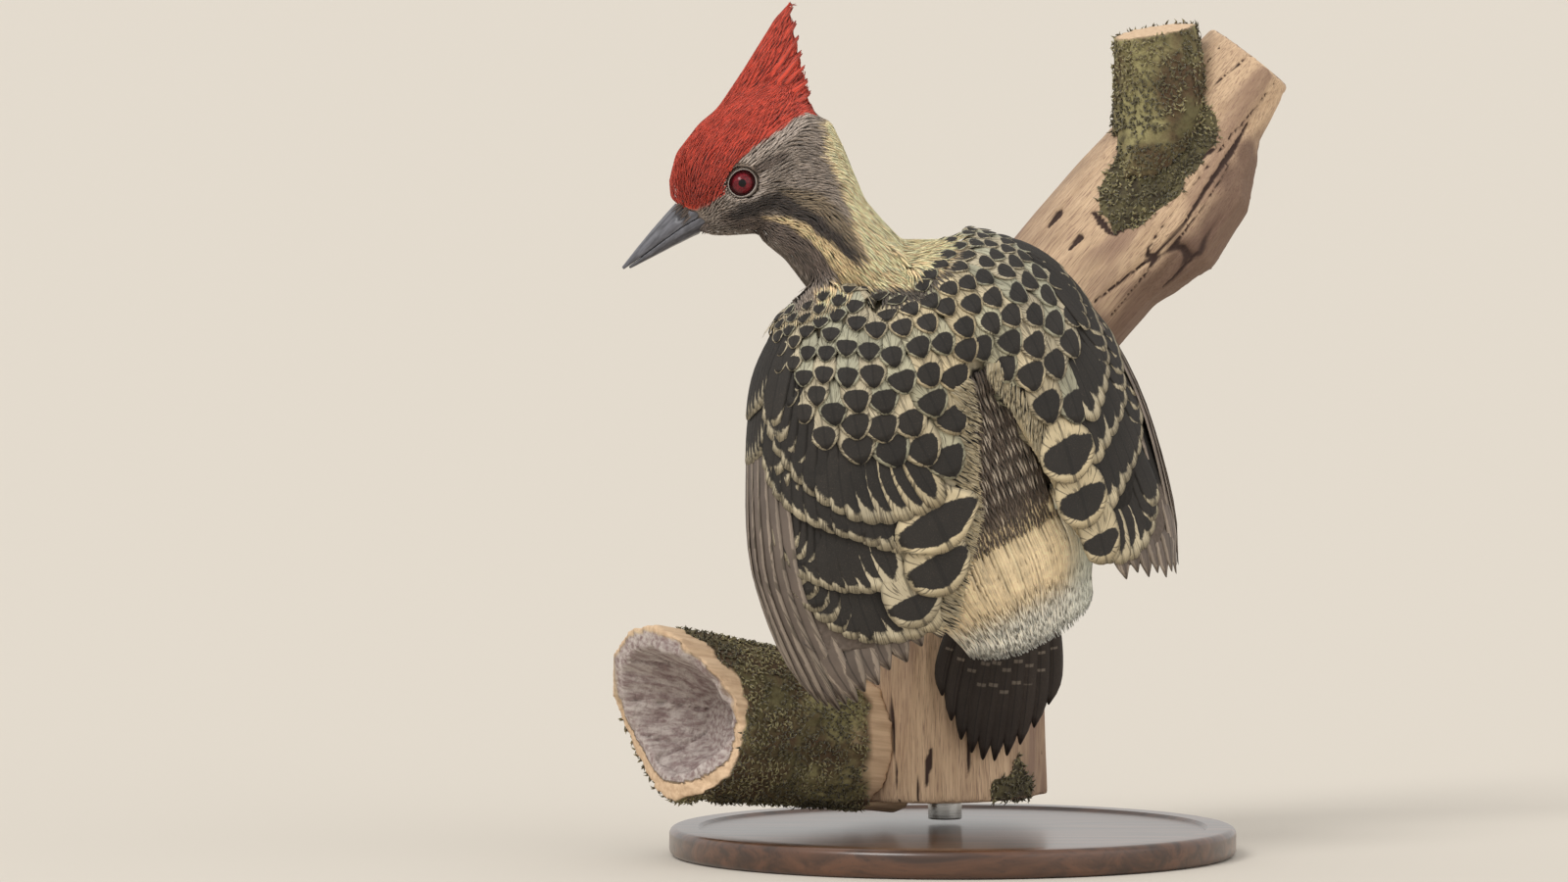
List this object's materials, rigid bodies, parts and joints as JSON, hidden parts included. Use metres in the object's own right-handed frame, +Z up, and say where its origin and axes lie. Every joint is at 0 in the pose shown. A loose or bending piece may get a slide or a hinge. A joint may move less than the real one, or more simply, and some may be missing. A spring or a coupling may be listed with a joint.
{
  "type": "crested woodpecker on a trunk, mounted on a display stand",
  "caption": "Life-size still model of a small crested woodpecker clinging to a short length of dead trunk on a round display stand.",
  "frame": {"origin": "centre of the stand's underside", "axes": "+Z up; the bird's back faces -Y, its bill points to -X, the trunk is on its +Y side"},
  "size_m": [0.1193, 0.1031, 0.1514],
  "materials": {
    "plumage_spotted": "black feathers with broad buff edges",
    "plumage_grey": "short soft grey-brown feathers",
    "plumage_buff": "soft buff feathers",
    "crest_red": "long silky red feathers",
    "flight_feather": "firm dark brown vanes",
    "tail_feather": "stiff black vanes with small pale bars",
    "bill_horn": "blue-grey horn",
    "eye": "wet, dark red",
    "foot_skin": "scaly grey-green skin",
    "claw_horn": "dark polished horn",
    "wood": "weathered bare wood with grain",
    "moss_bark": "bark under green moss",
    "stand_wood": "dark stained, satin varnish",
    "stand_metal": "brushed"
  },
  "bodies": {
    "root": {"bill_lower": "bill_horn", "bill_upper": "bill_horn", "claw_left_first": "claw_horn", "claw_left_fourth": "claw_horn", "claw_left_second": "claw_horn", "claw_left_third": "claw_horn", "claw_right_first": "claw_horn", "claw_right_fourth": "claw_horn", "claw_right_second": "claw_horn", "claw_right_third": "claw_horn", "crest": "crest_red", "eye_left": "eye", "eye_right": "eye", "foot_left": "foot_skin", "foot_right": "foot_skin", "head": "plumage_grey", "leg_left": "plumage_grey", "leg_right": "plumage_grey", "neck": "plumage_buff", "perch_branch": "moss_bark", "perch_limb": "wood", "perch_stub": "moss_bark", "perch_trunk": "wood", "stand_base": "stand_wood", "stand_rod": "stand_metal", "tail": "tail_feather", "torso": "plumage_spotted", "wing_left": "plumage_spotted", "wing_left_flight": "flight_feather", "wing_right": "plumage_spotted", "wing_right_flight": "flight_feather"}
  },
  "joints": []
}
